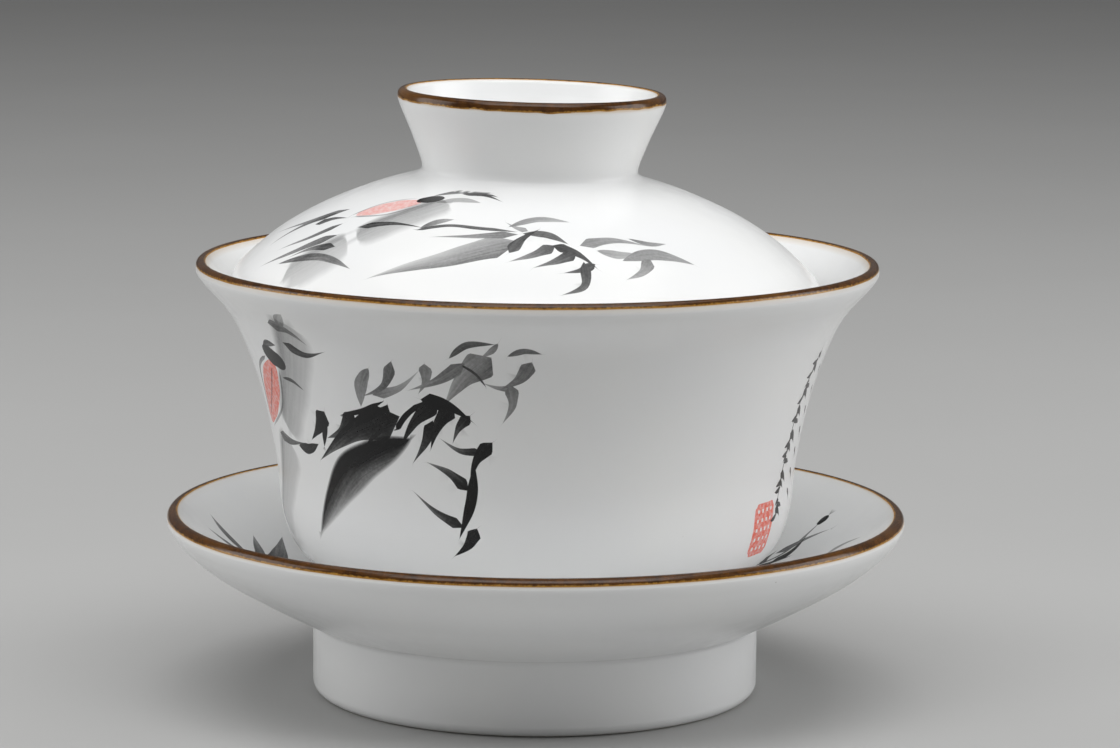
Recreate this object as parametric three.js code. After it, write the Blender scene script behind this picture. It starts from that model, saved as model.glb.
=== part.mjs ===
// A gaiwan: a lidded tea bowl on a high-footed saucer, in glazed white porcelain.
// Millimetres, +Z up. The origin is the middle of the circle that the saucer's foot stands on.
// Three loose pieces: the saucer, the bowl that stands in its well, and the lid that drops
// into the bowl's flared mouth. Each is a thrown body with a ring luted to it while the clay
// was soft: a foot under the saucer, a foot under the bowl, and the hollow knob on the lid.

import * as THREE from 'three';

// ---- driving dimensions ----
const SEGMENTS = 48;              // facets round every turned piece

const SAUCER_RADIUS = 54.4;       // widest point, just under the rim
const SAUCER_HEIGHT = 27.3;       // top of the rim above the table
const SAUCER_FOOT_RADIUS = 32.9;
const SAUCER_FOOT_HEIGHT = 11;
const SAUCER_FOOT_WALL = 4.2;
const WELL_RADIUS = 26;           // shallow recess that centres the bowl's foot
const WELL_FLOOR = 13.7;

const BOWL_RIM_RADIUS = 50;
const BOWL_RIM_HEIGHT = 64.3;
const BOWL_FOOT_RADIUS = 25;
const BOWL_FOOT_BOTTOM = 14;      // 0.3 above the well's floor
const BOWL_FOOT_TOP = 18.5;
const BOWL_FOOT_WALL = 3;

const LID_RADIUS = 43.4;
const LID_SEAT_HEIGHT = 17.4;     // height of the knob's seat above the lid's lower edge
const KNOB_RADIUS = 19.6;
const KNOB_WAIST_RADIUS = 15.6;
const KNOB_TOP = 29.7;            // above the lid's lower edge
const KNOB_WALL = 2.8;
const LUTE_GAP = 0.3;             // slip joint between the knob and the dome

// The lid lies a little askew in the bowl's mouth, as a loose lid does.
const LID_SHIFT_X = -1.6;
const LID_EDGE_HEIGHT = 59.3;
const LID_TILT_SIDEWAYS = 1.2;    // degrees, right-hand side down
const LID_TILT_FORWARD = 0.4;     // degrees, front down

// ---- helpers ----
const point = (r, z) => new THREE.Vector2(r, z);

// A smooth run through a few points of an outline.
function smooth(points, count) {
  return new THREE.SplineCurve(points.map(([r, z]) => point(r, z))).getPoints(count);
}

// A rounded edge: part of a circle, angles in degrees from the +r direction.
function round(r, z, radius, from, to, count) {
  const points = [];
  for (let i = 0; i <= count; i += 1) {
    const angle = THREE.MathUtils.degToRad(from + ((to - from) * i) / count);
    points.push(point(r + radius * Math.cos(angle), z + radius * Math.sin(angle)));
  }
  return points;
}

// Outlines run up the outside and down the inside, so the turned faces point out.
function turned(name, outline, material) {
  const geometry = new THREE.LatheGeometry(outline, SEGMENTS);
  geometry.rotateX(Math.PI / 2);
  const mesh = new THREE.Mesh(geometry, material);
  mesh.name = name;
  return mesh;
}

// A ring of rectangular section with both lower edges rounded off.
function footRing(name, radius, wall, bottom, top, edge, material) {
  const inner = radius - wall;
  const outline = [
    point(inner, top),
    ...round(inner + edge, bottom + edge, edge, 180, 270, 3),
    ...round(radius - edge, bottom + edge, edge, 270, 360, 3),
    point(radius, top),
    point(inner, top),
  ];
  return turned(name, outline, material);
}

// ---- materials ----
const glaze = (color) => new THREE.MeshStandardMaterial({ color, roughness: 0.18, metalness: 0 });
const saucerGlaze = glaze(0xe9e8e3);
const bowlGlaze = glaze(0xecebe7);
const lidGlaze = glaze(0xf1f0ec);

// ---- saucer ----
const saucerDish = turned('saucer_dish', [
  point(0, SAUCER_FOOT_HEIGHT),
  point(SAUCER_FOOT_RADIUS - SAUCER_FOOT_WALL, SAUCER_FOOT_HEIGHT),
  ...smooth([
    [SAUCER_FOOT_RADIUS, SAUCER_FOOT_HEIGHT],
    [39.6, 14.2],
    [46.3, 18],
    [52, 21.8],
    [SAUCER_RADIUS, 24.9],
  ], 9),
  ...round(53, SAUCER_HEIGHT - 1, 1, 40, 170, 4),
  ...smooth([
    [51.2, 25],
    [46, 21.1],
    [39.5, 17.4],
    [WELL_RADIUS + 2, 14.7],
  ], 7),
  point(WELL_RADIUS + 0.8, 14.5),
  point(WELL_RADIUS, WELL_FLOOR),
  point(0, WELL_FLOOR),
], saucerGlaze);

const saucerFootRing = footRing(
  'saucer_foot_ring', SAUCER_FOOT_RADIUS, SAUCER_FOOT_WALL, 0, SAUCER_FOOT_HEIGHT, 1.1, saucerGlaze,
);

const saucer = new THREE.Group();
saucer.add(saucerDish, saucerFootRing);

// ---- bowl ----
const bowlBody = turned('bowl_body', [
  point(0, BOWL_FOOT_TOP),
  point(BOWL_FOOT_RADIUS - BOWL_FOOT_WALL, BOWL_FOOT_TOP),
  ...smooth([
    [BOWL_FOOT_RADIUS, BOWL_FOOT_TOP],
    [34, 20.9],
    [37.2, 26.5],
    [38.4, 36],
    [40.8, 46.6],
    [44.6, 56],
    [BOWL_RIM_RADIUS, BOWL_RIM_HEIGHT - 1.5],
  ], 13),
  ...round(49.1, BOWL_RIM_HEIGHT - 0.9, 0.9, 10, 150, 4),
  ...smooth([
    [47.6, 62.9],
    [43.3, 57.4],
    [38.5, 46.5],
    [35.8, 36],
    [34.2, 27.5],
    [30.2, 23],
    [22, 21.4],
  ], 11),
  point(0, 21.3),
], bowlGlaze);

const bowlFootRing = footRing(
  'bowl_foot_ring', BOWL_FOOT_RADIUS, BOWL_FOOT_WALL, BOWL_FOOT_BOTTOM, BOWL_FOOT_TOP, 0.8, bowlGlaze,
);

const bowl = new THREE.Group();
bowl.add(bowlBody, bowlFootRing);

// ---- lid ----
const lidDome = turned('lid_dome', [
  point(0, 15.2),
  ...smooth([
    [12, 14.7],
    [26.5, 11.4],
    [36.2, 5.9],
    [40.8, 0.4],
  ], 9),
  ...round(42.5, 0.9, 0.9, 250, 360, 3),
  ...smooth([
    [LID_RADIUS - 0.05, 1.5],
    [42, 3.4],
    [35.5, 9.2],
    [23.4, 15.1],
    [KNOB_WAIST_RADIUS + 0.4, LID_SEAT_HEIGHT],
  ], 10),
  point(KNOB_WAIST_RADIUS - KNOB_WALL, LID_SEAT_HEIGHT),
  point(0, LID_SEAT_HEIGHT + 0.2),
], lidGlaze);

const knobBottom = LID_SEAT_HEIGHT + LUTE_GAP;
const lidKnob = turned('lid_knob', [
  point(KNOB_WAIST_RADIUS - KNOB_WALL, knobBottom),
  point(KNOB_WAIST_RADIUS, knobBottom),
  ...smooth([
    [KNOB_WAIST_RADIUS + 0.1, knobBottom + 0.8],
    [17.3, 22.8],
    [KNOB_RADIUS - 0.1, KNOB_TOP - 1.5],
  ], 4),
  ...round(KNOB_RADIUS - 0.8, KNOB_TOP - 0.8, 0.8, 0, 160, 4),
  point(14.8, 22.4),
  point(KNOB_WAIST_RADIUS - KNOB_WALL, knobBottom),
], lidGlaze);

const lid = new THREE.Group();
lid.add(lidDome, lidKnob);
lid.position.set(LID_SHIFT_X, 0, LID_EDGE_HEIGHT);
lid.rotation.set(
  THREE.MathUtils.degToRad(LID_TILT_FORWARD),
  THREE.MathUtils.degToRad(LID_TILT_SIDEWAYS),
  0,
);

// ---- the whole gaiwan ----
const group = new THREE.Group();
group.add(saucer, bowl, lid);

export default group;
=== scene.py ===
"""A white porcelain gaiwan with ink brushwork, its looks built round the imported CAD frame."""

import math

import bmesh
import bpy
import numpy as np
from mathutils import Matrix, Vector
from mathutils.geometry import delaunay_2d_cdt


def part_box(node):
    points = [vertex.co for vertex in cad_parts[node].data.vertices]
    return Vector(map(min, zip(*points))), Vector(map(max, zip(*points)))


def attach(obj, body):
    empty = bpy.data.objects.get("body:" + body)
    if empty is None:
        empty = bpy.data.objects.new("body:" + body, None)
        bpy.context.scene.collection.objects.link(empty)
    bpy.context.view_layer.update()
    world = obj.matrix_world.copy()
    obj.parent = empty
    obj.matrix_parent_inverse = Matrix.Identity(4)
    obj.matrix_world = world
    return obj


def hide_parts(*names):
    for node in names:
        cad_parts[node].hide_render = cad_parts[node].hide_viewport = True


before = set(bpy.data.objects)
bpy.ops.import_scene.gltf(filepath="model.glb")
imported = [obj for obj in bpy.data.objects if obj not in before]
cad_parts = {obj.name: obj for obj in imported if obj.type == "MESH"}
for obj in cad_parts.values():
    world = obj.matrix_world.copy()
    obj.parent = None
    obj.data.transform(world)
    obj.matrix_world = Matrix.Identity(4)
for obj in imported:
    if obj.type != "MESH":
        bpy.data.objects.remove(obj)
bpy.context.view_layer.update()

# All outlines and paintings are in millimetres; meshes and the scene are in metres.
MM = 0.001

# ---- sizes from the frame


def box_mm(node):
    """Lowest and highest corner of a CAD node, in millimetres."""
    low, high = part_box(node)
    return [v / MM for v in low], [v / MM for v in high]


def vertices_mm(node):
    """Every different vertex position of a CAD node, in millimetres."""
    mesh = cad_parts[node].data
    flat = np.empty(len(mesh.vertices) * 3)
    mesh.vertices.foreach_get("co", flat)
    return np.unique(np.round(flat.reshape(-1, 3) / MM, 3), axis=0)


_, (SAUCER_RADIUS, _, SAUCER_TOP) = box_mm("saucer_dish")
_, (SAUCER_FOOT_RADIUS, _, SAUCER_FOOT_TOP) = box_mm("saucer_foot_ring")
_, (BOWL_RADIUS, _, BOWL_TOP) = box_mm("bowl_body")
(_, _, BOWL_FOOT_BOTTOM), (BOWL_FOOT_RADIUS, _, BOWL_FOOT_TOP) = box_mm("bowl_foot_ring")


def lid_frame():
    """The lid lies askew, so its own axis and lower edge are read off its turned CAD solids."""
    dome, knob = vertices_mm("lid_dome"), vertices_mm("lid_knob")
    middle = dome.mean(axis=0)
    axis = knob.mean(axis=0) - middle
    axis /= np.linalg.norm(axis)
    origin = middle + axis * ((dome @ axis).min() - middle @ axis)
    across = np.cross([0, 1, 0], axis)
    across /= np.linalg.norm(across)
    turn = np.column_stack([across, np.cross(axis, across), axis])
    dome, knob = (dome - origin) @ turn, (knob - origin) @ turn
    radius, knob_radius = [np.hypot(own[:, 0], own[:, 1]).max() for own in (dome, knob)]
    return origin, turn, radius, knob_radius, knob[:, 2].max()


LID_ORIGIN, LID_TURN, LID_RADIUS, KNOB_RADIUS, KNOB_TOP = lid_frame()
UPRIGHT = np.eye(3)
ON_AXIS = np.zeros(3)


def added(name, data):
    """A new object in the scene."""
    thing = bpy.data.objects.new(name, data)
    bpy.context.scene.collection.objects.link(thing)
    return thing


# ---- turned outlines

# How far apart an outline's points are on plain runs, near a lip and on rounded edges.
OUTLINE_STEP = 0.9
FINE_STEP = 0.2
ROUND_STEP = 0.16
# Each point of an outline is its radius and its height.
BY_RADIUS, BY_HEIGHT = 0, 1


class Outline:
    """Half a section of a turned piece: up the outside from the axis, then down the inside."""

    def __init__(self):
        self.points = []
        self.marks = {}

    def to(self, r, z):
        """A straight run, cut into short steps so that the surface stays even."""
        if self.points:
            last_r, last_z = self.points[-1]
            count = max(1, round(math.hypot(r - last_r, z - last_z) / (2 * OUTLINE_STEP)))
            for i in range(1, count):
                t = i / count
                self.points.append((last_r + (r - last_r) * t, last_z + (z - last_z) * t))
        self.points.append((r, z))

    def smooth(self, knots, mark=None, step=OUTLINE_STEP, fine=()):
        """A smooth run through the knots, with the fine legs cut into shorter steps."""
        start = len(self.points)
        self.points.extend(curve_through(knots, step, fine))
        if mark:
            self.marks[mark] = (start, len(self.points) - 1)

    def round(self, r, z, radius, begin, end, mark=None):
        """Part of a circle, angles in degrees from the outward direction."""
        start = len(self.points)
        count = max(3, round(radius * math.radians(abs(end - begin)) / ROUND_STEP))
        for i in range(count + 1):
            angle = math.radians(begin + (end - begin) * i / count)
            self.points.append((r + radius * math.cos(angle), z + radius * math.sin(angle)))
        if mark:
            self.marks[mark] = (start, len(self.points) - 1)

    def section(self):
        """Four rows: the radius, height and outward normal's two parts at every point."""
        points = np.array(self.points)
        ahead = np.diff(points, axis=0)
        length = np.maximum(np.linalg.norm(ahead, axis=1, keepdims=True), 1e-6)
        ahead = ahead / length
        tangent = np.vstack([ahead[:1], ahead[:-1] + ahead[1:], ahead[-1:]])
        normal = np.column_stack([tangent[:, 1], -tangent[:, 0]])
        normal[0] = (0, -1)
        normal[-1] = (0, 1)
        normal /= np.maximum(np.linalg.norm(normal, axis=1, keepdims=True), 1e-9)
        return np.vstack([points.T, normal.T])


def curve_through(knots, step, fine=()):
    """Points along a Catmull-Rom curve through the knots."""
    knots = np.array(knots, dtype=float)
    padded = np.vstack([knots[0], knots, knots[-1]])
    points = []
    for i in range(len(knots) - 1):
        a, b, c, d = padded[i:i + 4]
        leg_step = FINE_STEP if i in fine else step
        count = max(2, round(np.linalg.norm(c - b) / leg_step))
        for t in np.arange(count) / count:
            points.append(tuple(0.5 * (
                2 * b + (c - a) * t
                + (2 * a - 5 * b + 4 * c - d) * t ** 2
                + (3 * b - a - 3 * c + d) * t ** 3
            )))
    points.append(tuple(knots[-1]))
    return points


def add_foot_ring(outline, radius, low, high, wall, fillet, inner_edge, outer_edge):
    """Underside of a vessel from the axis out: the roof inside its foot ring, then round the ring."""
    inner = radius - wall
    outline.to(0, high)
    outline.to(inner - fillet, high)
    outline.round(inner - fillet, high - fillet, fillet, 90, 0)
    outline.to(inner, low + inner_edge)
    outline.round(inner + inner_edge, low + inner_edge, inner_edge, 180, 270)
    outline.to(radius - outer_edge, low)
    outline.round(radius - outer_edge, low + outer_edge, outer_edge, 270, 360)


def add_crease(outline, radius, high, hollow, drop, end):
    """Up the outside of the foot ring and round the soft crease where it is luted on."""
    outline.to(radius, high - hollow)
    outline.round(radius + hollow, high - drop, hollow, 180, end)


def saucer_outline():
    """Foot ring, flared dish, rounded rim and the shallow well that the bowl stands in."""
    outline = Outline()
    foot, top = SAUCER_FOOT_RADIUS, SAUCER_FOOT_TOP
    add_foot_ring(outline, foot, 0.0, top, wall=4.2, fillet=1.2, inner_edge=1.0, outer_edge=1.7)
    add_crease(outline, foot, top, hollow=0.9, drop=0.7, end=118)
    outline.smooth([
        (foot + 1.1, top + 0.3),
        (foot + 6.7, top + 3.2),
        (SAUCER_RADIUS - 8.1, SAUCER_TOP - 9.3),
        (SAUCER_RADIUS - 4.6, SAUCER_TOP - 6.9),
        (SAUCER_RADIUS - 2.2, SAUCER_TOP - 4.8),
        (SAUCER_RADIUS - 0.8, SAUCER_TOP - 3.1),
        (SAUCER_RADIUS - 0.2, SAUCER_TOP - 2.05),
        (SAUCER_RADIUS, SAUCER_TOP - 1.4),
    ], fine=(4, 5, 6))
    outline.round(SAUCER_RADIUS - 1.1, SAUCER_TOP - 1.05, 1.05, -5, 135, "lip")
    outline.smooth([
        (SAUCER_RADIUS - 2.5, SAUCER_TOP - 0.95),
        (SAUCER_RADIUS - 4.6, SAUCER_TOP - 2.75),
        (SAUCER_RADIUS - 8.4, SAUCER_TOP - 5.6),
        (39.5, 17.5), (31.5, 15.1), (28.2, 14.6),
    ], "well", fine=(0,))
    outline.round(26.9, 13.5, 1.0, 60, 100)
    outline.round(25.4, 14.3, 0.6, -30, -90)
    outline.to(0, 13.7)
    return outline


def bowl_outline():
    """Foot ring, deep wall that flares to a thin rounded rim, and the inside down to the floor."""
    outline = Outline()
    foot, low, high = BOWL_FOOT_RADIUS, BOWL_FOOT_BOTTOM, BOWL_FOOT_TOP
    add_foot_ring(outline, foot, low, high, wall=3.0, fillet=0.9, inner_edge=0.8, outer_edge=0.9)
    add_crease(outline, foot, high, hollow=1.0, drop=0.75, end=110)
    outline.smooth([
        (foot + 1.5, high + 0.35),
        (34.0, 20.9), (37.2, 26.5), (38.4, 36.0), (40.8, 46.6), (44.6, 56.0),
        (BOWL_RADIUS - 0.9, BOWL_TOP - 2.9),
        (BOWL_RADIUS, BOWL_TOP - 1.5),
    ], "wall", step=0.7, fine=(6,))
    outline.round(BOWL_RADIUS - 0.85, BOWL_TOP - 0.8, 0.8, -5, 140, "lip")
    outline.smooth([
        (BOWL_RADIUS - 2.2, BOWL_TOP - 1.1),
        (43.4, 57.4), (38.6, 46.5), (35.9, 36.0), (34.3, 27.5),
        (30.2, 23.0), (22.0, 21.4), (12.0, 21.3),
    ], fine=(0,))
    outline.to(0, 21.3)
    return outline


def lid_outline():
    """Domed lid with the hollow ring knob luted on top, in the lid's own frame."""
    outline = Outline()
    waist = KNOB_RADIUS - 3.8
    outline.to(0, 15.2)
    outline.smooth([(4.0, 15.15), (12.0, 14.7), (26.5, 11.4), (36.2, 5.9), (41.0, 0.5)])
    outline.round(42.3, 1.05, 1.05, 215, 340)
    outline.smooth([
        (LID_RADIUS - 0.05, 1.2),
        (42.2, 3.4), (38.9, 6.5), (35.4, 9.2), (30.0, 12.3), (23.4, 15.1), (18.6, 16.65),
    ], "dome")
    outline.smooth([
        (17.4, 17.0), (16.3, 17.5), (waist, 18.6), (17.3, 22.8),
        (KNOB_RADIUS - 0.35, KNOB_TOP - 2.4),
        (KNOB_RADIUS, KNOB_TOP - 1.2),
    ], step=0.4, fine=(4, 5))
    outline.round(KNOB_RADIUS - 0.9, KNOB_TOP - 0.85, 0.85, 0, 160, "lip")
    outline.smooth([
        (KNOB_RADIUS - 2.3, KNOB_TOP - 2.2),
        (15.0, 22.4), (13.5, 19.0), (12.0, 17.8), (9.0, 17.6),
    ], step=0.6, fine=(0,))
    outline.to(0, 17.6)
    return outline


# ---- brush strokes

# Half the width, in millimetres, over which the edge of a crisp stroke or of a wash fades out.
CRISP = 0.03
SOFT = 0.8
# A stroke with a half width over WIDE gets points between its spine and its edges too.
WIDE = 1.0
# The least half width that shading from side to side reckons with.
NARROWEST = 0.2


class Stroke:
    """One pull of the brush: a spine, how wide it is and how dark, along and across."""

    count = 0

    def __init__(self, knots, width, shape, tone, fade=0.0, side=0.0, red=False, step=0.4, feather=CRISP):
        Stroke.count += 1
        self.seed = 3.7 * Stroke.count
        self.spine = np.array(curve_through(knots, step))
        legs = np.linalg.norm(np.diff(self.spine, axis=0), axis=1)
        along = np.concatenate([[0], np.cumsum(legs)])
        self.length = along[-1]
        self.t = along / self.length
        shake = 1 + 0.05 * np.sin(7 * self.t + self.seed) + 0.03 * np.sin(17 * self.t + 2 * self.seed)
        self.half = width / 2 * SHAPES[shape](self.t) * shake
        self.tone, self.fade, self.side = tone, fade, side
        self.red, self.feather = red, feather

    def rails(self):
        """The spine, lines just inside and outside both edges, and halfway lines if wide."""
        tangent = np.gradient(self.spine, axis=0)
        tangent /= np.maximum(np.linalg.norm(tangent, axis=1, keepdims=True), 1e-9)
        across = np.column_stack([-tangent[:, 1], tangent[:, 0]])
        lines = [self.spine]
        for side in (-1, 1):
            for reach in (self.half + self.feather, np.maximum(self.half - self.feather, 0)):
                lines.append(self.spine + side * across * reach[:, None])
            if self.half.max() > WIDE:
                lines.append(self.spine + side * across * self.half[:, None] * 0.5)
        return lines

    def cover(self, points):
        """How dark the stroke leaves each point, and the point's place along and across it."""
        start, leg = self.spine[:-1], np.diff(self.spine, axis=0)
        squared = np.maximum((leg ** 2).sum(axis=1), 1e-12)
        offset = points[:, None, :] - start[None]
        share = np.clip((offset * leg).sum(axis=2) / squared, 0, 1)
        away = offset - share[:, :, None] * leg
        distance = np.linalg.norm(away, axis=2)
        nearest = distance.argmin(axis=1)
        row = np.arange(len(points))
        distance, share = distance[row, nearest], share[row, nearest]
        t = self.t[nearest] + share * (self.t[nearest + 1] - self.t[nearest])
        half = np.interp(t, self.t, self.half)
        turn = leg[nearest, 0] * away[row, nearest, 1] - leg[nearest, 1] * away[row, nearest, 0]
        across = np.sign(turn) * distance
        inside = np.clip((half + self.feather - distance) / (2 * self.feather), 0, 1)
        level = self.tone - self.fade * t
        level = level + self.side * across / np.maximum(half, NARROWEST)
        return inside * np.clip(level, 0, 1), t * self.length, across


# How wide each kind of stroke is from its start, t = 0, to its end, t = 1; about 1 at its widest.
SHAPES = {
    "leaf": lambda t: t ** 0.9 * (1 - t) ** 1.1 / 0.252,
    "blade": lambda t: np.minimum(t / 0.17, ((1 - t) / 0.83) ** 1.15),
    "dab": lambda t: np.sqrt(np.maximum(1 - (2 * t - 1) ** 2, 0)),
    "twig": lambda t: np.minimum(1, np.minimum(12 * t + 0.2, 4 * (1 - t) + 0.1)),
    "culm": lambda t: (1 - np.abs(2 * t - 1) ** 9) ** 0.5 * (0.92 + 0.16 * (2 * t - 1) ** 4),
}


def leaf(base, tip, width, tone=0.95, fade=0.25, bend=0.08, side=0.0, shape="leaf", feather=CRISP):
    """A bamboo leaf pulled from its stalk to a long thin tip."""
    (x0, y0), (x1, y1) = base, tip
    middle = ((x0 + x1) / 2 - (y1 - y0) * bend, (y0 + y1) / 2 + (x1 - x0) * bend)
    return Stroke([base, middle, tip], width, shape, tone, fade, side, feather=feather)


def blade(base, tip, width, tone=1.0, fade=0.1, bend=0.08, side=0.0):
    """A leaf laid down heavily, broad at once and then flicked to a point."""
    return leaf(base, tip, width, tone, fade, bend, side, "blade")


def twig(knots, width=0.5, tone=0.9, fade=0.2):
    """A thin stalk."""
    return Stroke(knots, width, "twig", tone, fade)


def dab(start, end, width, tone=0.9, red=False):
    """An oval touch of the brush."""
    return Stroke([start, end], width, "dab", tone, red=red, step=0.2)


def culm(knots, width, tone=0.24):
    """One pale length of cane between two joints: a soft wash with a darker edge."""
    spine = np.array(knots, dtype=float)
    along = np.gradient(spine, axis=0)
    along /= np.linalg.norm(along, axis=1, keepdims=True)
    edge = spine + np.column_stack([along[:, 1], -along[:, 0]]) * width * 0.38
    return [
        Stroke(knots, width, "culm", tone, 0.0, -0.4 * tone, feather=SOFT),
        Stroke(edge, width * 0.2, "culm", tone * 0.8, 0.1, feather=SOFT * 0.7),
    ]


def seal(left, bottom, width, height):
    """A small upright stamp: a plain lattice of red bars, 4 cells wide and 5 high."""
    ends = []
    for i in range(5):
        x = left + width * i / 4
        ends.append([(x, bottom), (x, bottom + height)])
    for i in range(6):
        y = bottom + height * i / 5
        ends.append([(left, y), (left + width, y)])
    return [Stroke(pair, width=0.95, shape="culm", tone=0.95, red=True) for pair in ends]


# The bowl's wall is drawn rolled out: x runs round it from the front, y is the height, and
# WALL_SCALE millimetres of x are one radian.
WALL_SCALE = 40.0


def bowl_cane():
    """The pale cane near the left edge of the front, with its red bud."""
    upper = culm([(-33.9, 58.4), (-36.0, 54.6), (-38.9, 49.4), (-42.2, 44.4), (-44.4, 41.3)], 6.8)
    lower = culm([(-45.4, 39.6), (-48.6, 34.6), (-51.4, 29.8), (-53.8, 25.4)], 7.4, 0.2)
    return upper + lower + [
        blade((-38.6, 58.2), (-32.4, 55.6), 1.9, 0.55, 0.2, 0.1),
        blade((-37.8, 55.4), (-29.6, 55.0), 1.5, 0.75, 0.1, -0.14),
        leaf((-36.6, 57.4), (-33.6, 60.2), 1.5, 0.5),
        leaf((-41.8, 49.6), (-36.8, 48.4), 0.6, 0.6, 0.1, 0.1),
        blade((-49.2, 40.4), (-40.0, 40.2), 1.7, 0.55, -0.1, -0.06),
        leaf((-42.0, 39.6), (-36.2, 40.6), 1.6, 0.85, 0.0, -0.1),
        dab((-43.2, 51.6), (-53.9, 41.6), 5.2, 0.9, red=True),
        twig([(-45.6, 52.2), (-51.0, 49.4), (-54.9, 42.0)], 0.55, 0.5),
        twig([(-42.2, 50.4), (-45.4, 44.6), (-52.6, 40.8)], 0.45, 0.45),
        twig([(-44.6, 50.6), (-48.4, 46.4), (-53.2, 42.2)], 0.35, 0.45),
        dab((-45.2, 53.4), (-39.6, 51.6), 2.9, 1.0),
        leaf((-44.4, 54.0), (-40.2, 54.6), 1.0, 0.8),
    ]


def bowl_dark_leaves():
    """The black leaves that hang from the twig across the front."""
    left = [
        blade((-33.2, 45.8), (-37.8, 41.0), 3.0, 1.0, 0.1, 0.05),
        leaf((-33.0, 44.8), (-34.8, 40.4), 1.1, 0.95, 0.1, -0.04),
        blade((-27.2, 46.2), (-33.8, 41.8), 2.8, 1.0, 0.4, 0.1),
        twig([(-29.4, 45.8), (-25.6, 46.8), (-21.6, 48.6)], 0.7, 0.95, 0.0),
    ]
    big = [
        blade((-19.4, 46.6), (-36.4, 38.2), 5.2, 1.0, 0.35, -0.05, -0.15),
        blade((-21.0, 48.2), (-26.4, 41.2), 2.4, 1.0, 0.2, 0.06),
        leaf((-18.2, 43.4), (-38.4, 27.2), 5.6, 1.05, 0.5, -0.09, -0.42, feather=0.3),
        twig([(-20.2, 44.6), (-18.4, 46.8), (-15.6, 49.0)], 0.8, 1.0, 0.0),
    ]
    cluster = [
        blade((-15.8, 49.4), (-8.6, 46.4), 2.6, 1.0, 0.0, 0.10),
        blade((-13.2, 49.4), (-20.0, 42.0), 2.6, 1.0, 0.2, -0.06),
        blade((-14.4, 46.4), (-18.2, 39.8), 1.9, 1.0, 0.35, 0.05),
        blade((-11.2, 48.8), (-15.2, 42.0), 2.6, 1.0, 0.15, -0.08),
        blade((-9.0, 47.4), (-11.8, 43.2), 1.7, 1.0, 0.4, -0.08),
    ]
    hanging = [
        blade((-7.6, 42.2), (-13.6, 43.8), 1.3, 0.95, 0.5, 0.14),
        blade((-6.1, 43.6), (-9.6, 37.4), 2.2, 1.0, 0.05, -0.1),
        leaf((-8.8, 40.2), (-11.4, 29.4), 1.6, 1.0, 0.0, 0.05),
        blade((-9.8, 36.4), (-16.0, 40.2), 2.0, 1.0, 0.55, -0.08),
        blade((-10.6, 31.0), (-18.6, 35.8), 1.5, 0.95, 0.5, 0.06),
        blade((-8.7, 31.0), (-12.4, 26.7), 2.3, 1.0, 0.1, 0.1),
    ]
    return left + big + cluster + hanging


def bowl_grey_leaves():
    """The paler leaves behind and above, in three groups."""
    left = [
        blade((-19.0, 54.8), (-25.0, 49.0), 1.7, 0.6, 0.1, 0.16),
        blade((-23.2, 49.4), (-15.2, 53.8), 1.5, 0.5, 0.3, -0.1),
        leaf((-22.8, 53.4), (-25.6, 47.4), 2.0, 0.5, 0.1, -0.1),
    ]
    middle = [
        blade((-14.4, 54.8), (-16.0, 50.2), 1.9, 0.5, 0.1, 0.12),
        blade((-9.0, 55.2), (-17.4, 50.6), 2.0, 0.58, 0.2, 0.06),
        blade((-5.6, 56.2), (-12.6, 48.6), 4.4, 0.52, 0.2, -0.05, 0.08),
        twig([(-9.4, 54.8), (-7.8, 53.6), (-6.6, 51.8)], 0.35, 0.8),
        leaf((-11.0, 55.8), (-5.0, 58.2), 1.0, 0.65, 0.0, 0.16),
        leaf((-4.6, 58.4), (-6.8, 56.2), 0.8, 0.6),
    ]
    right = [
        blade((-0.6, 55.6), (-4.8, 51.4), 2.3, 0.58, 0.1, 0.12),
        leaf((-3.6, 56.4), (0.6, 56.8), 0.9, 0.65, 0.1, 0.15),
        blade((-2.6, 51.6), (-7.2, 52.4), 1.0, 0.5, 0.2),
        blade((-3.4, 52.2), (-4.6, 46.4), 1.9, 0.55, 0.2, 0.14),
    ]
    return left + middle + right


def bowl_sprig():
    """A thin hanging sprig at the right, and the stamp under it."""
    strokes = [twig([(50.2, 53.4), (48.6, 44.0), (47.6, 36.0), (46.4, 28.6)], 0.35, 0.6, 0.1)]
    lengths = [1.6, 2.6, 1.4, 3.2, 2.8, 1.6, 3.4, 2.4, 1.2, 3.0, 2.0, 1.4, 2.6]
    for i, length in enumerate(lengths):
        y = 52.4 - 1.9 * i + 0.4 * math.sin(2.7 * i)
        x = 46.4 + 0.155 * (y - 28.6)
        way = 1 if math.sin(2.2 * i) > -0.2 else -1
        tip = (x + 0.7 * length * way, y - 0.5 * length)
        strokes.append(blade((x - 0.5 * way, y + 0.2), tip, 0.6 + 0.3 * length, bend=0.1 * way))
        tip = (x - 1.9 * way, y - 0.4 - 0.4 * length)
        strokes.append(leaf((x + 0.4 * way, y - 0.6), tip, 0.8, 0.9, 0.1, 0.1))
    for i in range(7):
        x, y = 54.4 - 0.45 * i, 50.2 - 3.0 * i
        strokes.append(blade((x, y), (x + 1.6, y - 2.0), 0.9, 0.8))
    return strokes + seal(left=39.6, bottom=24.2, width=5.4, height=7.0)


# The lid is drawn in plan, in its own frame, with the front at the bottom.


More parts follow.
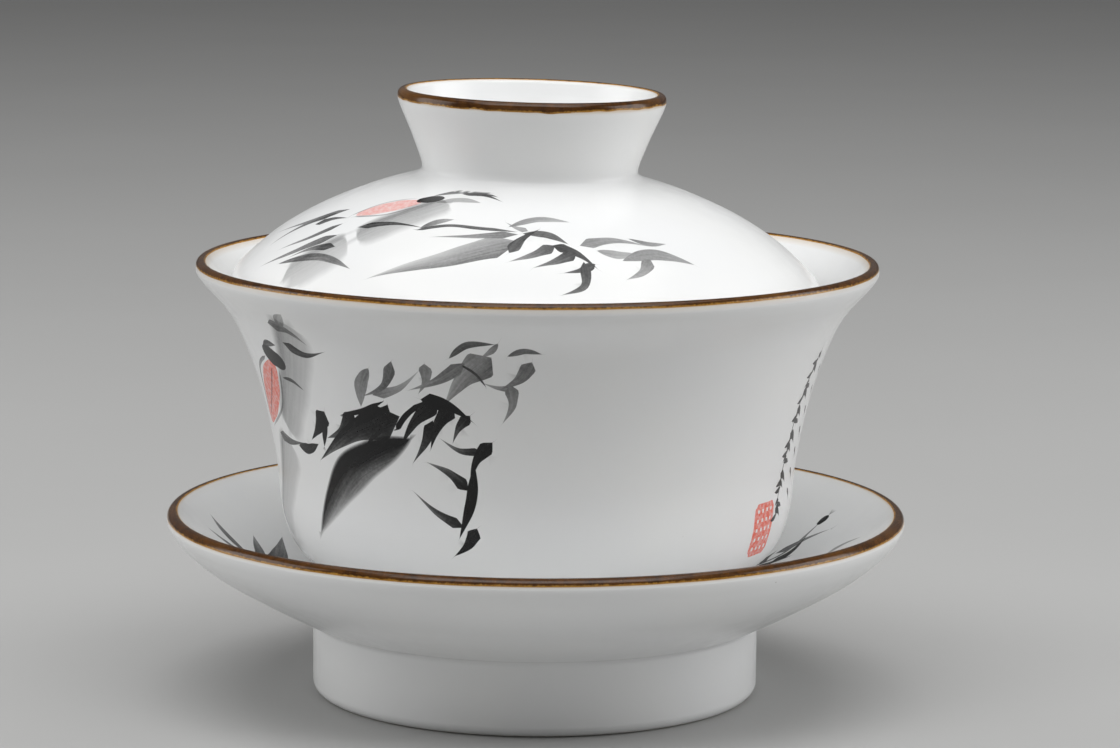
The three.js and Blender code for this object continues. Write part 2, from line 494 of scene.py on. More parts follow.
def lid_cane():
    """The pale cane that lies across the left of the lid, with its bud."""
    inner = culm([(-11.4, -20.2), (-16.0, -21.8), (-20.4, -22.8), (-24.2, -23.4)], 6.0, 0.26)
    outer = culm([(-25.4, -23.8), (-29.0, -24.2), (-32.0, -24.0), (-34.6, -23.4)], 7.2, 0.2)
    return inner + outer + [
        blade((-24.2, -20.4), (-14.8, -26.0), 1.4, 0.6, -0.05, 0.05),
        leaf((-15.2, -25.9), (-10.4, -25.2), 1.3, 0.55),
        leaf((-35.4, -18.4), (-24.8, -29.6), 1.2, 0.5, 0.1, 0.05),
        dab((-24.6, -15.8), (-15.2, -18.0), 3.2, 0.55, red=True),
        twig([(-25.2, -15.4), (-20.6, -14.8), (-15.6, -16.4)], 0.3, 0.3),
        twig([(-24.8, -16.4), (-20.4, -19.2), (-15.0, -19.2)], 0.35, 0.35),
        dab((-16.0, -17.2), (-12.0, -18.2), 2.1, 0.85),
        leaf((-13.6, -16.6), (-4.4, -19.6), 1.3, 0.5, -0.2, 0.14),
        blade((-9.6, -17.4), (-3.8, -21.2), 1.3, 0.65, -0.15, 0.10),
        leaf((-13.2, -19.2), (-6.8, -21.2), 1.5, 0.28, 0.0, 0.1),
    ]


def lid_left_leaves():
    """Grey leaves at the left edge of the lid."""
    return [
        blade((-25.6, -12.4), (-36.6, -4.4), 1.6, 0.6, 0.3, 0.08),
        blade((-27.4, -12.0), (-37.4, -9.0), 1.9, 0.68, 0.35, -0.06),
        blade((-30.6, -12.4), (-25.8, -15.8), 1.5, 0.7, 0.1),
        blade((-26.4, -17.2), (-35.8, -13.8), 1.3, 0.6, 0.3, 0.1),
        blade((-27.0, -20.2), (-38.2, -14.8), 1.7, 0.62, 0.3, 0.06),
        blade((-27.2, -23.2), (-34.2, -18.6), 1.4, 0.65, 0.3, -0.06),
    ]


def lid_front_leaves():
    """The long grey leaves over the front of the lid and the dark group to their right."""
    long_leaves = [
        twig([(-15.6, -26.2), (-11.2, -26.6), (-6.8, -28.2), (-1.8, -29.4)], 0.7, 0.6, 0.0),
        blade((-1.4, -30.0), (-13.8, -28.6), 1.5, 0.52, 0.25, 0.05),
        blade((-1.2, -31.6), (-22.4, -32.8), 4.8, 0.48, 0.25, 0.07, 0.14),
        blade((-2.6, -33.8), (1.6, -28.6), 2.0, 0.72, 0.0, 0.06),
    ]
    return long_leaves + [
        leaf((-0.8, -29.8), (5.6, -31.4), 1.4, 0.7, 0.1, 0.12),
        blade((3.8, -32.0), (-2.6, -35.4), 2.0, 0.76, 0.35, 0.06),
        blade((6.8, -32.9), (0.8, -36.4), 1.9, 0.82, 0.35, 0.05),
        blade((3.4, -32.0), (9.8, -35.2), 1.9, 0.82, 0.1, 0.08),
        blade((9.4, -34.4), (5.0, -36.8), 1.4, 0.8, 0.2),
        blade((7.8, -34.4), (4.8, -40.0), 1.7, 0.82, 0.3, 0.3),
    ]


def lid_pale_leaves():
    """The palest leaves at the right of the lid."""
    return [
        leaf((-2.8, -28.2), (5.8, -26.2), 1.4, 0.42, 0.15, 0.12),
        blade((0.0, -29.2), (-3.2, -27.0), 1.1, 0.4, 0.1),
        blade((7.2, -31.4), (16.8, -28.0), 2.1, 0.42, 0.1, 0.08),
        leaf((9.6, -31.8), (15.4, -30.4), 1.5, 0.38, 0.1, -0.1),
        leaf((14.0, -27.6), (19.4, -26.0), 0.9, 0.44, 0.1, -0.12),
        blade((17.1, -30.6), (13.8, -35.6), 1.9, 0.47, 0.15, 0.12),
        leaf((13.2, -32.6), (23.4, -28.0), 2.0, 0.44, 0.1, 0.1),
    ]


# The saucer is drawn in plan too, with the front at the bottom.


def saucer_left_leaves():
    """Leaves that fan out inside the saucer to the left of the bowl."""
    heart = (-40.8, 0.4)
    return [
        leaf(heart, (-48.8, 8.2), 1.5, 0.9, 0.5, 0.06),
        leaf(heart, (-42.6, 11.8), 1.9, 0.9, 0.5, -0.05),
        leaf(heart, (-38.6, 17.4), 2.6, 0.9, 0.5, -0.06),
        leaf(heart, (-48.6, 1.2), 1.4, 0.9, 0.5, 0.05),
        twig([(-36.0, -12.0), (-40.6, -4.0), (-41.6, 4.0)], 0.7, 0.6),
    ]


def saucer_right_leaves():
    """Leaves that show inside the saucer to the right of the bowl, and a pink bud below them."""
    return [
        twig([(33.0, 12.4), (38.4, 14.4), (43.6, 17.2)], 0.5, 0.6),
        blade((36.4, 15.2), (44.6, 12.6), 1.5, 0.6, 0.2, 0.1),
        blade((35.6, 12.0), (41.4, 15.8), 1.9, 0.85, 0.2, -0.1),
        blade((33.2, 11.2), (38.8, 11.6), 1.7, 0.85, 0.1, 0.1),
        blade((34.0, 12.6), (36.8, 16.2), 1.2, 0.7),
        dab((42.8, 16.8), (44.6, 17.6), 1.5, 0.85),
        blade((43.4, 3.4), (48.2, -0.6), 1.2, 0.35, 0.0, 0.1),
        blade((42.4, 1.4), (44.8, -3.8), 1.2, 0.35),
        dab((47.2, -14.6), (43.6, -23.6), 3.6, 0.45, red=True),
    ]


# ---- meshes

RING_SEGMENTS = 192
# Rows of plain points in a drawing, and the least share of a step before its border.
GROUND_STEP = 1.4
LAST_STEP = 0.6
# How far strokes stay from the border, and plain points from strokes and border.
BORDER_GAP = 0.25
GROUND_GAP = 0.3
# Points of a drawing closer than this are one point.
SAME_POINT = 1e-4
# How far beyond a stroke's edge its ink is looked for, and its brush coordinates still hold.
INK_REACH = 0.2
BRUSH_REACH = 0.15
# Vertices closer than this are welded where the parts of a piece meet.
WELD = 0.0012


def around(segments):
    """Evenly spread angles once round, from the front."""
    return np.arange(segments) / segments * 2 * math.pi


def unit_ring():
    """A circle of radius 1 in plan, with the front at the bottom."""
    turn = around(RING_SEGMENTS)
    return np.column_stack([np.sin(turn), -np.cos(turn)])


class Chart:
    """The decorated stretch of a turned piece laid out flat, rolled out or in plan."""

    def __init__(self, section, plan):
        self.plan = plan
        measure = BY_RADIUS if plan else BY_HEIGHT
        self.section = section[:, np.argsort(section[measure])]
        self.reach = self.section[measure]
        self.low, self.high = self.reach[0], self.reach[-1]

    def place(self, points):
        """Positions and normals on the piece for points of the flat drawing."""
        if self.plan:
            reach = np.hypot(points[:, 0], points[:, 1])
            angle = np.arctan2(points[:, 0], -points[:, 1])
        else:
            reach = points[:, 1]
            angle = points[:, 0] / WALL_SCALE
        r, z, out, up = [np.interp(reach, self.reach, row) for row in self.section]
        return turned(r, z, angle), turned(out, up, angle)

    def inside(self, points, margin):
        """Which points lie in the drawing, at least the margin from its borders."""
        if self.plan:
            reach = np.hypot(points[:, 0], points[:, 1])
            return (reach > self.low + margin) & (reach < self.high - margin)
        sides = np.abs(points[:, 0]) < WALL_SCALE * math.pi - margin
        return sides & (points[:, 1] > self.low + margin) & (points[:, 1] < self.high - margin)

    def border(self):
        """The two rings that the drawing shares with the plain rings beside it."""
        if self.plan:
            return [unit_ring() * self.low, unit_ring() * self.high]
        turn = np.arange(RING_SEGMENTS + 1) / RING_SEGMENTS * 2 * math.pi
        x = (turn - math.pi) * WALL_SCALE
        return [np.column_stack([x, np.full_like(x, y)]) for y in (self.low, self.high)]

    def ground(self):
        """Evenly spread points for the plain parts of the drawing."""
        rows = np.arange(self.low + GROUND_STEP, self.high - GROUND_STEP * LAST_STEP, GROUND_STEP)
        if self.plan:
            return np.vstack([unit_ring() * reach for reach in rows])
        turn = np.arange(RING_SEGMENTS + 1) / RING_SEGMENTS * 2 - 1
        x, y = np.meshgrid(turn * math.pi * WALL_SCALE, rows)
        return np.column_stack([x.ravel(), y.ravel()])


def drawn_lines(chart, strokes):
    """Points of the borders and of every stroke's lines, and the edges that join them."""
    points, edges = [], []

    def add_line(line, closed=False):
        start = len(points)
        points.extend(line)
        edges.extend((start + i, start + i + 1) for i in range(len(line) - 1))
        if closed:
            edges.append((len(points) - 1, start))

    for ring in chart.border():
        add_line(ring, closed=chart.plan)
    for stroke in strokes:
        for line in stroke.rails():
            kept = chart.inside(line, BORDER_GAP)
            changes = np.flatnonzero(np.diff(kept.astype(int))) + 1
            for run in np.split(np.arange(len(line)), changes):
                if kept[run[0]]:
                    add_line(line[run])
    return points, edges


def drawn_mesh(chart, strokes):
    """Triangles over the drawing that follow every stroke's edge, with the ink at each vertex."""
    points, edges = drawn_lines(chart, strokes)
    ground = chart.ground()
    drawn = np.array(points)
    near = np.array([np.abs(drawn - p).sum(axis=1).min() < GROUND_GAP for p in ground])
    points.extend(ground[~near])
    made = delaunay_2d_cdt([Vector(p) for p in points], edges, [], 0, SAME_POINT)
    flat = np.array([tuple(v) for v in made[0]])
    faces = np.array(made[2])
    centres = flat[faces].mean(axis=1)
    faces = faces[chart.inside(centres, 0)]
    position, normal = chart.place(flat)
    return {
        "co": position,
        "normal": normal,
        "faces": faces.tolist(),
        "stain": np.zeros(len(flat)),
        **painted(flat, strokes),
    }


def painted(flat, strokes):
    """The ink and red that the strokes leave at each point, and the brush's own coordinates.

    Where crisp strokes cross the darkest one counts, while washes darken what they lie on.
    """
    clear = {False: np.ones(len(flat)), True: np.ones(len(flat))}
    wash = np.ones(len(flat))
    strongest = np.zeros(len(flat))
    brush = np.zeros((len(flat), 3))
    for stroke in strokes:
        reach = stroke.half.max() + stroke.feather + INK_REACH
        low, high = stroke.spine.min(axis=0) - reach, stroke.spine.max(axis=0) + reach
        near = np.flatnonzero(((flat > low) & (flat < high)).all(axis=1))
        if not len(near):
            continue
        level, along, across = stroke.cover(flat[near])
        if stroke.feather > CRISP:
            wash[near] *= 1 - level
        else:
            clear[stroke.red][near] = np.minimum(clear[stroke.red][near], 1 - level)
        half = np.interp(along / stroke.length, stroke.t, stroke.half)
        close = np.abs(across) < half + BRUSH_REACH
        stronger = close & (level >= strongest[near])
        strongest[near[stronger]] = level[stronger]
        hairs = np.column_stack([along, across, np.full(len(near), stroke.seed)])
        brush[near[stronger]] = hairs[stronger]
    return {"ink": 1 - clear[False] * wash, "red": 1 - clear[True], "brush": brush}


def turned(out, up, angle):
    """Vectors that go out and up by these amounts, turned to these angles from the front."""
    parts = [out * np.sin(angle), -out * np.cos(angle), up * np.ones_like(angle)]
    return np.stack(parts, axis=-1).reshape(-1, 3)


def ring_faces(rows, segments):
    """Quads that join each ring of points to the next, rows of them."""
    faces = []
    for i in range(rows):
        for j in range(segments):
            a, b = i * segments + j, i * segments + (j + 1) % segments
            faces.append([a, b, b + segments, a + segments])
    return faces


def ringed_mesh(section, stain):
    """Plain rings of quads through the points of an outline."""
    r, z, out, up = section[:, :, None]
    angle = around(RING_SEGMENTS)
    count = len(stain) * RING_SEGMENTS
    return {
        "co": turned(r, z, angle),
        "normal": turned(out, up, angle),
        "faces": ring_faces(len(stain) - 1, RING_SEGMENTS),
        "ink": np.zeros(count),
        "red": np.zeros(count),
        "brush": np.zeros((count, 3)),
        "stain": np.repeat(stain, RING_SEGMENTS),
    }


def joined(parts):
    """Several meshes as one, before their shared borders are welded."""
    fields = [key for key in parts[0] if key != "faces"]
    total = {key: np.concatenate([part[key] for part in parts]) for key in fields}
    faces, start = [], 0
    for part in parts:
        faces.extend([i + start for i in face] for face in part["faces"])
        start += len(part["co"])
    total["faces"] = faces
    return total


def make_piece(name, data, place, material):
    """A Blender object from mesh arrays, welded, with its own normals and its paint attributes.

    The place is the origin and the turning of the piece's own frame.
    """
    origin, turn = place
    co = (data["co"] @ turn.T + origin) * MM
    normal = data["normal"] @ turn.T
    mesh = bpy.data.meshes.new(name)
    mesh.from_pydata(co.tolist(), [], data["faces"])
    for key, values in data.items():
        if key in ("co", "faces"):
            continue
        kind = "FLOAT_VECTOR" if values.ndim == 2 else "FLOAT"
        field = mesh.attributes.new(key, kind, "POINT")
        values = normal if key == "normal" else values
        field.data.foreach_set("vector" if values.ndim == 2 else "value", values.ravel())
    weld = bmesh.new()
    weld.from_mesh(mesh)
    bmesh.ops.remove_doubles(weld, verts=weld.verts, dist=WELD * MM)
    for face in weld.faces:
        face.smooth = True
    weld.to_mesh(mesh)
    weld.free()
    flat = np.empty(len(mesh.vertices) * 3, np.float32)
    mesh.attributes["normal"].data.foreach_get("vector", flat)
    mesh.normals_split_custom_set_from_vertices(flat.reshape(-1, 3).tolist())
    mesh.attributes.remove(mesh.attributes["normal"])
    mesh.materials.append(material)
    return added(name, mesh)


def from_apex(outline, section):
    """Each outline point's way along the surface from the top of the lip, below 0 on the outside."""
    r, z = section[:2]
    first, last = outline.marks["lip"]
    apex = first + int(np.argmax(z[first:last + 1]))
    along = np.concatenate([[0], np.cumsum(np.hypot(np.diff(r), np.diff(z)))])
    return along - along[apex]


# How wide the iron stain beside a rim line is.
STAIN_WIDTH = 0.5


def porcelain_piece(name, outline, span, plan, strokes, band, place, material):
    """A turned body, drawn on along the outline's span, with a stain beside its rim line.

    The band says how far the rim line reaches down the outside and the inside from the lip's top.
    """
    section = outline.section()
    along = from_apex(outline, section)
    outside, inside = band
    stain = np.clip(1 - np.maximum(-outside - along, along - inside) / STAIN_WIDTH, 0, 1) ** 2
    first, last = span
    parts = [
        ringed_mesh(section[:, :first + 1], stain[:first + 1]),
        drawn_mesh(Chart(section[:, first:last + 1], plan), strokes),
        ringed_mesh(section[:, last:], stain[last:]),
    ]
    return make_piece(name, joined(parts), place, material)


def wave(angle, seed, size):
    """A slow uneven wobble round a ring that closes on itself."""
    total = np.zeros_like(angle)
    for i, count in enumerate((2, 5, 9, 16, 27, 41)):
        total += np.sin(count * angle + seed * (i + 1.7)) / (i + 1.5)
    return size * total


LINE_SEGMENTS = 360
LINE_ROWS = 12
# How far a rim line stands proud at its edges, how much more in its middle, and its depth.
LINE_LIFT = 0.004
LINE_RISE = 0.05
LINE_DEPTH = 0.12
# How much its inner edge wavers, and what is added to its seed there.
INNER_WAVER = 0.09
INNER_SEED = 4


def line_faces():
    """Quads over the top and the underside of a rim line, and along both of its edges."""
    top = ring_faces(LINE_ROWS, LINE_SEGMENTS)
    count = (LINE_ROWS + 1) * LINE_SEGMENTS
    faces = top + [[v + count for v in reversed(face)] for face in top]
    for j in range(LINE_SEGMENTS):
        a, b = j, (j + 1) % LINE_SEGMENTS
        faces.append([b, a, a + count, b + count])
        a, b = a + LINE_ROWS * LINE_SEGMENTS, b + LINE_ROWS * LINE_SEGMENTS
        faces.append([a, b, b + count, a + count])
    return faces


def rim_line(name, outline, band, waver, seed, place, material):
    """A band of iron-brown glaze laid over a lip: a thin closed crescent with wavering edges."""
    section = outline.section()
    along = from_apex(outline, section)
    outside, inside = band
    angle = around(LINE_SEGMENTS)
    lower = -outside * (1 + wave(angle, seed, waver))
    upper = inside * (1 + wave(angle, seed + INNER_SEED, INNER_WAVER))
    share = (np.arange(LINE_ROWS + 1) / LINE_ROWS)[:, None]
    reach = lower + (upper - lower) * share
    r, z, out, up = [np.interp(reach, along, row) for row in section]
    rise = LINE_RISE * (1 - np.abs(2 * share - 1) ** 3) + LINE_LIFT
    top, underside = [
        turned(r + out * height, z + up * height, angle)
        for height in (rise, -LINE_DEPTH)
    ]
    facing = turned(out, up, angle)
    edge = np.minimum(np.abs(reach - lower), np.abs(reach - upper)).ravel()
    data = {
        "co": np.concatenate([top, underside]),
        "normal": np.concatenate([facing, -facing]),
        "faces": line_faces(),
        "edge": np.concatenate([edge, edge]),
    }
    return make_piece(name, data, place, material)


# ---- materials


class Graph:
    """A material's node tree, built one node at a time."""

    def __init__(self, name):
        self.material = bpy.data.materials.new(name)
        self.material.use_nodes = True
        self.tree = self.material.node_tree
        self.tree.nodes.clear()
        place = self.add("TexCoord").outputs["Object"]
        scaled = self.add("VectorMath", {"operation": "SCALE"}, Vector=place)
        scaled.inputs["Scale"].default_value = 1 / MM
        self.place = scaled.outputs[0]

    def add(self, kind, settings=(), **inputs):
        """A node with its settings and its inputs, each a number, a colour or another output."""
        node = self.tree.nodes.new("ShaderNode" + kind)
        for key, value in dict(settings).items():
            setattr(node, key, value)
        for key, value in inputs.items():
            self.feed(node.inputs[key.replace("_", " ")], value)
        return node

    def feed(self, socket, value):
        """Link another node's output to the socket, or set its own value."""
        if isinstance(value, bpy.types.NodeSocket):
            self.tree.links.new(value, socket)
        else:
            socket.default_value = value

    def field(self, name, output="Fac"):
        """A value that the mesh carries at its vertices."""
        return self.add("Attribute", {"attribute_name": name}).outputs[output]

    def noise(self, scale, detail=2.0, rough=0.5, place=None):
        """Smooth noise, its scale in features per millimetre."""
        inputs = {"Vector": place or self.place, "Scale": scale, "Detail": detail, "Roughness": rough}
        return self.add("TexNoise", **inputs).outputs["Fac"]

    def span(self, value, low, high, to_low=0.0, to_high=1.0, smooth=False):
        """The value's range from low to high carried to another range."""
        node = self.add("MapRange", {"interpolation_type": "SMOOTHSTEP" if smooth else "LINEAR"})
        for i, number in enumerate((value, low, high, to_low, to_high)):
            self.feed(node.inputs[i], number)
        return node.outputs[0]

    def math(self, operation, a, b, clamp=False):
        """One sum, product or comparison of two values."""
        node = self.add("Math", {"operation": operation, "use_clamp": clamp})
        self.feed(node.inputs[0], a)
        self.feed(node.inputs[1], b)
        return node.outputs[0]

    def blend(self, share, a, b):
        """Colour a where share is 0 and colour b where it is 1."""
        node = self.add("Mix", {"data_type": "RGBA"})
        self.feed(node.inputs[0], share)
        self.feed(node.inputs[6], a)
        self.feed(node.inputs[7], b)
        return node.outputs[2]

    def bump(self, height, depth, under=None):
        """A bump whose height of 1 stands depth millimetres proud."""
        node = self.add("Bump", Height=height)
        node.inputs["Distance"].default_value = depth * MM
        node.inputs["Strength"].default_value = 1.0
        if under:
            self.feed(node.inputs["Normal"], under)
        return node.outputs[0]

    def finish(self, **inputs):
        """The material with a principled shader that takes these inputs."""
        shader = self.add("BsdfPrincipled", (), **inputs)
        self.add("OutputMaterial", (), Surface=shader.outputs[0])
        return self.material


WHITE = (0.84, 0.845, 0.84, 1)
COOL_WHITE = (0.825, 0.832, 0.835, 1)
INK = (0.006, 0.006, 0.0065, 1)
RED = (0.80, 0.100, 0.045, 1)
BISCUIT = (0.70, 0.65, 0.56, 1)
SPECK = (0.10, 0.06, 0.035, 1)
STAIN = (0.50, 0.30, 0.09, 1)
BROWN = (0.085, 0.030, 0.004, 1)
BLACK_BROWN = (0.034, 0.012, 0.002, 1)
WARM_BROWN = (0.13, 0.052, 0.007, 1)
GOLDEN = (0.52, 0.28, 0.06, 1)
AMBER = (0.30, 0.13, 0.018, 1)
FLOOR_GREY = (0.42, 0.42, 0.415, 1)
FLOOR_PALE = (0.445, 0.445, 0.44, 1)


# Nearly all of a noise texture's values lie between these two.
NOISE_LOW, NOISE_HIGH = 0.3, 0.7
# What both glazes set on the shader's own sockets.
GLAZE = {"IOR": 1.5, "Specular_IOR_Level": 0.3}
PORCELAIN_ROUGHNESS = (0.19, 0.25)
RIM_ROUGHNESS = (0.13, 0.25)
BARE_CLAY_ROUGHER = 0.5
# Pinholes: cells per millimetre, the share that has one, and its outer and full radius in cells.
SPECK_CELLS = 0.24
SPECK_SHARE = 0.045
SPECK_EDGE, SPECK_CORE = 0.035, 0.012
SPECK_STRENGTH = 0.7
STAIN_STRENGTH = 0.5
# The streaks of the brush's hairs: features per millimetre along and across, and per seed.
HAIR_SCALE = (0.16, 2.4, 1.0)
# Ink darkens the glaze by this power of what it lets through.
INK_POWER = 2.2


def pinholes(g):
    """Where the glaze has a dark pinhole: at the middle of a few cells of a coarse pattern."""
    cells = g.add("TexVoronoi", Vector=g.place, Scale=SPECK_CELLS)
    lot = g.add("SeparateColor", Color=cells.outputs["Color"]).outputs[0]
    chosen = g.math("GREATER_THAN", lot, 1 - SPECK_SHARE)
    dot = g.span(cells.outputs["Distance"], SPECK_EDGE, SPECK_CORE)
    return g.math("MULTIPLY", chosen, dot)


def brushed_ink(g):
    """The ink, streaked by the hairs of the brush and a little broken by the grain of the clay."""
    brush = g.field("brush", "Vector")
    stretched = g.add("VectorMath", {"operation": "MULTIPLY"}, Vector=brush)
    stretched.inputs[1].default_value = HAIR_SCALE
    hair = g.noise(1.0, 3.0, 0.6, stretched.outputs[0])
    grain = g.noise(2.2, 3.0, 0.6)
    streaks = g.span(hair, NOISE_LOW, NOISE_HIGH, -0.10, 0.08)
    breaks = g.span(grain, NOISE_LOW, NOISE_HIGH, -0.05, 0.04)
    ink = g.field("ink")
    painted_here = g.span(ink, 0.1, 0.55)
    return g.math("ADD", ink, g.math("MULTIPLY", g.math("ADD", streaks, breaks), painted_here))


def blotted_red(g):
    """The red paint, thinner in blotches."""
    blotch = g.span(g.noise(1.6, 3.0, 0.65), 0.35, 0.6, 0.6, 1.0)
    return g.math("MULTIPLY", g.field("red"), blotch)


def bare_foot(g, foot_height):
    """Where the clay is bare: below foot_height, up to a slightly ragged line."""
    height = g.add("SeparateXYZ", Vector=g.place).outputs["Z"]
    ragged = g.math("ADD", height, g.span(g.noise(0.8), 0.0, 1.0, -0.12, 0.12))
    return g.span(ragged, foot_height + 0.1, foot_height - 0.05)


def porcelain(name, foot_height):
    """White glaze with brushwork under it; the face of the foot below foot_height is bare."""
    g = Graph(name)
    colour = g.blend(g.span(g.noise(0.05, 3.0), 0.35, 0.65), WHITE, COOL_WHITE)
    colour = g.blend(g.math("MULTIPLY", pinholes(g), SPECK_STRENGTH), colour, SPECK)
    colour = g.blend(g.math("MULTIPLY", g.field("stain"), STAIN_STRENGTH), colour, STAIN)
    colour = g.blend(blotted_red(g), colour, RED)
    clear = g.math("SUBTRACT", 1.0, brushed_ink(g), clamp=True)
    colour = g.blend(g.math("POWER", clear, INK_POWER), INK, colour)
    bare = bare_foot(g, foot_height)
    grit = g.noise(5.0, 4.0, 0.7)
    colour = g.blend(bare, colour, g.blend(grit, BISCUIT, WHITE))
    glazed = g.span(g.noise(0.35, 3.0), NOISE_LOW, NOISE_HIGH, *PORCELAIN_ROUGHNESS)
    rough = g.math("ADD", glazed, g.math("MULTIPLY", bare, BARE_CLAY_ROUGHER))
    ripple = g.bump(g.noise(0.07, 1.0), 0.05)
    skin = g.bump(g.noise(0.9, 2.0), 0.003, ripple)
    gritty = g.bump(g.math("MULTIPLY", grit, bare), 0.06, skin)
    return g.finish(Base_Color=colour, Roughness=rough, Normal=gritty, **GLAZE)


def iron_glaze():
    """Brown rim glaze that pools dark, thins to a warmer brown and ends in a golden edge."""
    g = Graph("iron_rim_glaze")
    unevenness = g.span(g.noise(1.6, 3.0, 0.6), 0.25, 0.75, -0.14, 0.14)
    from_edge = g.math("ADD", g.field("edge"), unevenness)
    pooled = g.blend(g.span(g.noise(0.7, 4.0, 0.65), 0.35, 0.65), BROWN, BLACK_BROWN)
    body = g.blend(g.span(g.noise(0.07, 3.0, 0.6), 0.48, 0.74), pooled, WARM_BROWN)
    edge = g.blend(g.noise(1.1, 2.0), GOLDEN, AMBER)
    colour = g.blend(g.span(from_edge, 0.06, 0.36, smooth=True), edge, body)
    fleck = g.span(g.noise(4.5, 2.0, 0.7), 0.62, 0.72)
    colour = g.blend(g.math("MULTIPLY", fleck, 0.35), colour, AMBER)
    rough = g.span(g.noise(1.5, 3.0), NOISE_LOW, NOISE_HIGH, *RIM_ROUGHNESS)
    skin = g.bump(g.noise(1.2, 3.0), 0.02)
    return g.finish(Base_Color=colour, Roughness=rough, Normal=skin, **GLAZE)


def studio_floor():
    """A pale matt sweep with a very faint mottle."""
    g = Graph("studio_floor")
    colour = g.blend(g.noise(0.01, 3.0), FLOOR_GREY, FLOOR_PALE)
    return g.finish(Base_Color=colour, Roughness=0.6, IOR=1.4)


# ---- the gaiwan


# The foot is bare up to this far above its lowest point.
BARE_HEIGHT = 0.25


def span_within(outline, mark, measure, low, high):
    """First and last outline point of a marked run whose radius or height is from low to high."""
    first, last = outline.marks[mark]
    kept = [i for i in range(first, last + 1) if low <= outline.points[i][measure] <= high]
    return kept[0], kept[-1]


def settle(piece, body):
    """The piece rides on its body."""
    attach(piece, body)


def make_saucer(line_glaze):
    """The saucer, painted inside its dish."""
    outline = saucer_outline()
    span = span_within(outline, "well", BY_RADIUS, 29, 50.5)
    strokes = saucer_left_leaves() + saucer_right_leaves()
    glaze = porcelain("saucer_glaze", BARE_HEIGHT)
    band = (1.6, 0.45)
    place = (ON_AXIS, UPRIGHT)
    body = porcelain_piece("saucer_porcelain", outline, span, True, strokes, band, place, glaze)
    line = rim_line("saucer_rim_line", outline, band, 0.03, 1.3, place, line_glaze)
    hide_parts("saucer_dish", "saucer_foot_ring")
    settle(body, "saucer")
    settle(line, "saucer")


def make_bowl(line_glaze):
    """The bowl, painted round its wall."""
    outline = bowl_outline()
    span = span_within(outline, "wall", BY_HEIGHT, 21.5, 62.3)
    strokes = bowl_cane() + bowl_grey_leaves() + bowl_dark_leaves() + bowl_sprig()
    glaze = porcelain("bowl_glaze", BOWL_FOOT_BOTTOM + BARE_HEIGHT)
    band = (1.25, 0.55)
    place = (ON_AXIS, UPRIGHT)
    body = porcelain_piece("bowl_porcelain", outline, span, False, strokes, band, place, glaze)
    line = rim_line("bowl_rim_line", outline, band, 0.05, 2.9, place, line_glaze)
    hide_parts("bowl_body", "bowl_foot_ring")
    settle(body, "bowl")
    settle(line, "bowl")


def make_lid(line_glaze):
    """The lid, painted on its dome; it has no foot, so no bare clay."""
    outline = lid_outline()
    span = span_within(outline, "dome", BY_RADIUS, 19.0, 42.3)
    strokes = lid_cane() + lid_left_leaves() + lid_front_leaves() + lid_pale_leaves()
    glaze = porcelain("lid_glaze", 0.0)
    band = (1.65, 0.5)
    place = (LID_ORIGIN, LID_TURN)
    body = porcelain_piece("lid_porcelain", outline, span, True, strokes, band, place, glaze)
    line = rim_line("knob_rim_line", outline, band, 0.10, 5.1, place, line_glaze)
    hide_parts("lid_dome", "lid_knob")
    settle(body, "lid")
    settle(line, "lid")


# ---- studio


# The floor, in metres: half its width, its start, a row's depth, and where and how it curves up.
FLOOR_HALF_WIDTH = 3.5
FLOOR_START = -2.5
FLOOR_ROW = 0.35
FLOOR_ROWS, FLOOR_COLUMNS = 24, 8
CURVE_START = 3.0
CURVE_RISE = 0.05


def make_floor():
    """A broad floor with a gentle curve up at its far end."""
    sweep = bmesh.new()
    across = np.linspace(-FLOOR_HALF_WIDTH, FLOOR_HALF_WIDTH, FLOOR_COLUMNS + 1)
    rows = []
    for i in range(FLOOR_ROWS + 1):
        y = FLOOR_START + FLOOR_ROW * i
        rise = CURVE_RISE * max(0.0, y - CURVE_START) ** 2
        rows.append([sweep.verts.new((x, y, rise)) for x in across])
    for near, far in zip(rows, rows[1:]):
        for i in range(FLOOR_COLUMNS):
            sweep.faces.new((near[i], near[i + 1], far[i + 1], far[i]))
    mesh = bpy.data.meshes.new("studio_floor")
    sweep.to_mesh(mesh)
    sweep.free()
    for face in mesh.polygons:
        face.use_smooth = True
    mesh.materials.append(studio_floor())
    added("studio_floor", mesh)


# The middle of the gaiwan, in metres.
MIDDLE = (0, 0, 0.045)
WORLD_STRENGTH = 0.15


def softbox(name, place, width, height, power):
    """A rectangular area light that faces the middle of the gaiwan, in metres and watts."""
    light = bpy.data.lights.new(name, "AREA")
    light.shape = "RECTANGLE"
    light.size, light.size_y = width, height
    light.energy = power
    holder = added(name, light)
    holder.location = place
    holder.rotation_mode = "QUATERNION"
    holder.rotation_quaternion = (Vector(MIDDLE) - Vector(place)).to_track_quat("-Z", "Y")


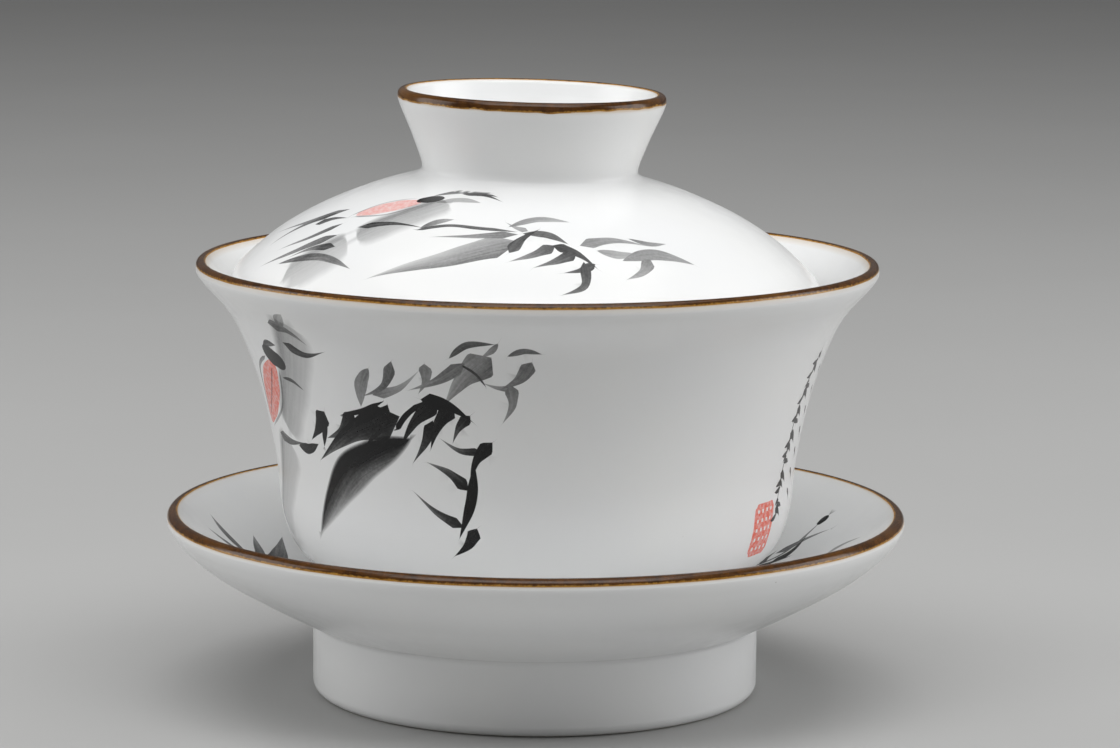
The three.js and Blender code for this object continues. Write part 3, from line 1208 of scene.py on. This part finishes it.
def make_lights():
    """Two large lights overhead, one at each side, a faint one in front, and a dim white room."""
    softbox("top_softbox", (0.0, 0.08, 1.34), width=1.4, height=1.0, power=7.8)
    softbox("forward_softbox", (0.0, -0.56, 1.18), width=1.6, height=0.6, power=10.1)
    softbox("right_softbox", (0.70, 0.05, 0.28), width=0.5, height=0.5, power=2.4)
    softbox("left_softbox", (-0.70, 0.05, 0.28), width=0.5, height=0.5, power=1.95)
    softbox("front_fill", (0.0, -1.2, 0.35), width=1.4, height=0.4, power=0.5)
    world = bpy.data.worlds.new("studio_world")
    world.use_nodes = True
    background = world.node_tree.nodes["Background"]
    background.inputs["Color"].default_value = (1, 1, 1, 1)
    background.inputs["Strength"].default_value = WORLD_STRENGTH
    bpy.context.scene.world = world


# The camera's place in metres, and how many degrees it looks down, to the right, and leans.
CAMERA_PLACE = (0, -0.620, 0.1425)
CAMERA_DOWN = 8.74
CAMERA_RIGHT = 0.315
CAMERA_LEAN = 0.47
LENS = 136.9
SENSOR_WIDTH = 36


def make_camera():
    """A long lens a little above the lid that looks down at the middle of the gaiwan."""
    pitch, yaw, roll = [math.radians(v) for v in (CAMERA_DOWN, CAMERA_RIGHT, CAMERA_LEAN)]
    level = math.cos(pitch)
    ahead = Vector((math.sin(yaw) * level, math.cos(yaw) * level, -math.sin(pitch)))
    right = Vector((math.cos(yaw), -math.sin(yaw), 0))
    up = right.cross(ahead)
    tilted_right = right * math.cos(roll) + up * math.sin(roll)
    tilted_up = up * math.cos(roll) - right * math.sin(roll)
    turn = Matrix((tilted_right, tilted_up, -ahead)).transposed()
    data = bpy.data.cameras.new("camera")
    data.sensor_width = SENSOR_WIDTH
    data.lens = LENS
    camera = added("camera", data)
    camera.matrix_world = Matrix.Translation(CAMERA_PLACE) @ turn.to_4x4()
    bpy.context.scene.camera = camera


bpy.context.scene.view_settings.view_transform = "Standard"
LINE_GLAZE = iron_glaze()
make_saucer(LINE_GLAZE)
make_bowl(LINE_GLAZE)
make_lid(LINE_GLAZE)
make_floor()
make_lights()
make_camera()
